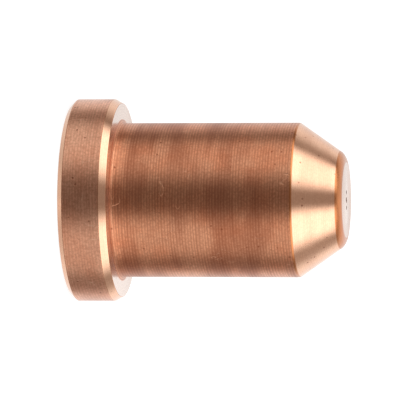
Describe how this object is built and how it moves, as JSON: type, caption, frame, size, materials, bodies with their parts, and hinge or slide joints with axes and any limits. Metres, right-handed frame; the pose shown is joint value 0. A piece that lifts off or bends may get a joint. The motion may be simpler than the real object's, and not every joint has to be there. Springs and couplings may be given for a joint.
{
  "type": "plasma torch nozzle",
  "caption": "Turned copper nozzle for a plasma cutting torch: seating flange, straight barrel, short cone and a flat nose with fine in-line arc and gas holes.",
  "frame": {"origin": "centre of the flat back face of the flange, which the nozzle stands on", "axes": "+Z along the turning axis, out of the nose; X through the centres of the two gas holes beside the arc hole"},
  "size_m": [0.0158, 0.0158, 0.0214],
  "materials": {
    "copper": "turned copper with fine circumferential tool marks, lightly oxidised"
  },
  "bodies": {
    "root": {"nozzle": "copper"}
  },
  "joints": []
}
